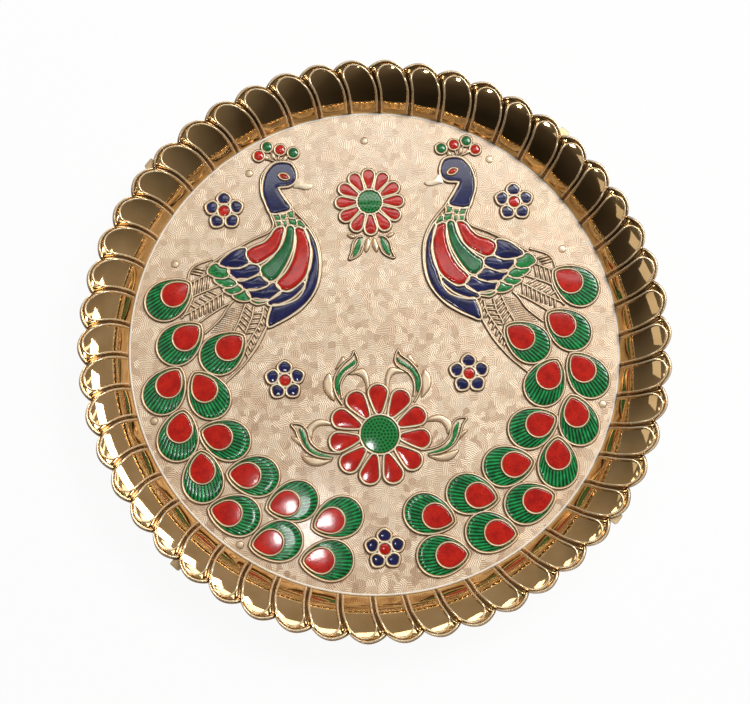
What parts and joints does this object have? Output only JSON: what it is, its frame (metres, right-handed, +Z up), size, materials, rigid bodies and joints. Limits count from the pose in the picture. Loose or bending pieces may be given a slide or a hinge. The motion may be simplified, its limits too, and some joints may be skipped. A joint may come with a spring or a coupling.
{
  "type": "puja thali",
  "caption": "Round gilt ritual plate with a scalloped fluted rim and an enamelled twin-peacock inlay disc in its well.",
  "frame": {"origin": "centre of the plate on the table plane, under the foot ring", "axes": "+Z up out of the dish, +Y towards the top of the artwork, +X to its right"},
  "size_m": [0.192, 0.1918, 0.0162],
  "materials": {
    "gilt": "gold metallised, mirror bright",
    "pale_gilt": "pale gold metallised sheet, hatched ground",
    "glue": "cured adhesive film",
    "navy_enamel": "poured glossy enamel",
    "red_enamel": "poured glossy enamel",
    "green_enamel": "poured glossy translucent enamel"
  },
  "bodies": {
    "root": {"plate_body": "gilt", "inlay_disc": "pale_gilt", "glue_ring": "glue", "glue_pad": "glue", "left_neck": "navy_enamel", "left_breast": "navy_enamel", "left_back_scales": "navy_enamel", "right_neck": "navy_enamel", "right_breast": "navy_enamel", "right_back_scales": "navy_enamel", "small_flower_upper_left_petals": "navy_enamel", "small_flower_upper_right_petals": "navy_enamel", "small_flower_middle_left_petals": "navy_enamel", "small_flower_middle_right_petals": "navy_enamel", "small_flower_bottom_petals": "navy_enamel", "left_back_feather": "red_enamel", "left_front_feather": "red_enamel", "left_tail_eye_1": "red_enamel", "left_tail_eye_2": "red_enamel", "left_tail_eye_3": "red_enamel", "left_tail_eye_4": "red_enamel", "left_tail_eye_5": "red_enamel", "left_tail_eye_6": "red_enamel", "left_tail_eye_7": "red_enamel", "left_tail_eye_8": "red_enamel", "left_tail_eye_9": "red_enamel", "left_tail_eye_10": "red_enamel", "left_tail_eye_11": "red_enamel", "left_tail_eye_12": "red_enamel", "left_tail_eye_13": "red_enamel", "left_tail_eye_14": "red_enamel", "right_back_feather": "red_enamel", "right_front_feather": "red_enamel", "right_tail_eye_1": "red_enamel", "right_tail_eye_2": "red_enamel", "right_tail_eye_3": "red_enamel", "right_tail_eye_4": "red_enamel", "right_tail_eye_5": "red_enamel", "right_tail_eye_6": "red_enamel", "right_tail_eye_7": "red_enamel", "right_tail_eye_8": "red_enamel", "right_tail_eye_9": "red_enamel", "right_tail_eye_10": "red_enamel", "right_tail_eye_11": "red_enamel", "right_tail_eye_12": "red_enamel", "right_tail_eye_13": "red_enamel", "right_tail_eye_14": "red_enamel", "big_flower_petals": "red_enamel", "top_flower_petals": "red_enamel", "left_collar": "green_enamel", "left_middle_feather": "green_enamel", "left_rump_scales": "green_enamel", "left_tail_green": "green_enamel", "right_collar": "green_enamel", "right_middle_feather": "green_enamel", "right_rump_scales": "green_enamel", "right_tail_green": "green_enamel", "big_flower_heart": "green_enamel", "top_flower_heart": "green_enamel"}
  },
  "joints": []
}
